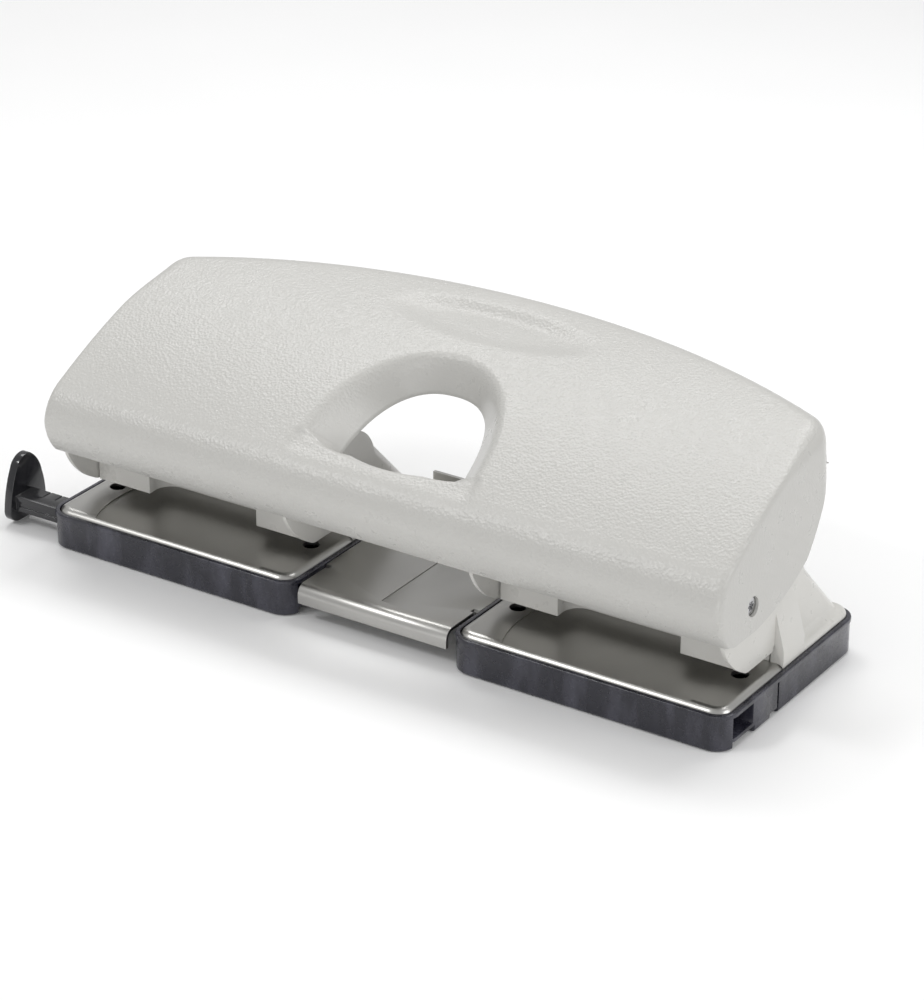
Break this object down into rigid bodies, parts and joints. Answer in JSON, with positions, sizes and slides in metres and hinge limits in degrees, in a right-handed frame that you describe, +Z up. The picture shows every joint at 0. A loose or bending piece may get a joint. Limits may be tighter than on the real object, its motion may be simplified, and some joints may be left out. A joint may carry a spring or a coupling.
{
  "type": "hole punch",
  "caption": "Desk hole punch with a wide lever cover and grip opening over twin punching units, a bridge between them and a pull-out paper guide.",
  "frame": {"origin": "on the desk, at the middle of the whole outline with the paper guide pulled out", "axes": "+X along the lever to the right, +Y to the rear away from the paper, +Z up"},
  "size_m": [0.2816, 0.0978, 0.0873],
  "materials": {
    "handle_paint": "light warm grey paint with a fine leather-like grain, semi-gloss",
    "chassis_paint": "smooth off-white semi-gloss paint",
    "plate_steel": "satin nickel-plated steel",
    "tray_plastic": "smoky dark plastic, slightly translucent",
    "guide_plastic": "glossy black moulded plastic",
    "zinc_steel": "zinc-plated steel",
    "pin_steel": "ground tool steel",
    "spring_steel": "spring steel wire and strip"
  },
  "bodies": {
    "base": {"bridge_plate": "plate_steel", "left_chip_tray": "tray_plastic", "left_base_plate": "plate_steel", "left_chassis": "chassis_paint", "left_punch_carrier": "chassis_paint", "left_chassis_rivets": "zinc_steel", "right_chip_tray": "tray_plastic", "right_base_plate": "plate_steel", "right_chassis": "chassis_paint", "right_punch_carrier": "chassis_paint", "right_chassis_rivets": "zinc_steel", "bridge_rivets": "zinc_steel", "pivot_clips": "spring_steel", "return_spring_1": "spring_steel", "pivot_pin_1": "pin_steel", "return_spring_2": "spring_steel", "pivot_pin_2": "pin_steel", "return_spring_3": "spring_steel", "pivot_pin_3": "pin_steel", "return_spring_4": "spring_steel", "pivot_pin_4": "pin_steel"},
    "handle": {"handle_shell": "handle_paint", "left_lever": "zinc_steel", "right_lever": "zinc_steel"},
    "punch_1": {"punch_pin_1": "pin_steel", "pin_clip_1": "spring_steel"},
    "punch_2": {"punch_pin_2": "pin_steel", "pin_clip_2": "spring_steel"},
    "punch_3": {"punch_pin_3": "pin_steel", "pin_clip_3": "spring_steel"},
    "punch_4": {"punch_pin_4": "pin_steel", "pin_clip_4": "spring_steel"},
    "guide": {"paper_guide": "guide_plastic"},
    "left_door": {"left_tray_door": "tray_plastic"},
    "right_door": {"right_tray_door": "tray_plastic"}
  },
  "joints": [
    {"name": "handle_hinge", "type": "hinge", "parent": "base", "child": "handle", "pos_m": [0.01075, -0.0293, 0.0427], "axis": [-1, 0, 0], "range_deg": [0, 36], "stiffness_Nm_per_rad": 0.6, "springref_deg": -28.65},
    {"name": "punch_1_slide", "type": "slide", "parent": "base", "child": "punch_1", "axis": [0, 0, -1], "range_m": [0, 0.006], "deforming": ["return_spring_1"]},
    {"name": "punch_2_slide", "type": "slide", "parent": "base", "child": "punch_2", "axis": [0, 0, -1], "range_m": [0, 0.006], "deforming": ["return_spring_2"]},
    {"name": "punch_3_slide", "type": "slide", "parent": "base", "child": "punch_3", "axis": [0, 0, -1], "range_m": [0, 0.006], "deforming": ["return_spring_3"]},
    {"name": "punch_4_slide", "type": "slide", "parent": "base", "child": "punch_4", "axis": [0, 0, -1], "range_m": [0, 0.006], "deforming": ["return_spring_4"]},
    {"name": "guide_slide", "type": "slide", "parent": "base", "child": "guide", "axis": [1, 0, 0], "range_m": [-0.0615, 0.016]},
    {"name": "left_door_hinge", "type": "hinge", "parent": "base", "child": "left_door", "pos_m": [-0.06925, 0.0303, 0.0034], "axis": [1, 0, 0], "range_deg": [0, 85]},
    {"name": "right_door_hinge", "type": "hinge", "parent": "base", "child": "right_door", "pos_m": [0.09075, 0.0303, 0.0034], "axis": [1, 0, 0], "range_deg": [0, 85]}
  ],
  "couplings": [
    {"joint": "punch_1_slide", "follows": "handle_hinge", "m_per_rad": 0.0095},
    {"joint": "punch_2_slide", "follows": "handle_hinge", "m_per_rad": 0.0095},
    {"joint": "punch_3_slide", "follows": "handle_hinge", "m_per_rad": 0.0095},
    {"joint": "punch_4_slide", "follows": "handle_hinge", "m_per_rad": 0.0095}
  ]
}
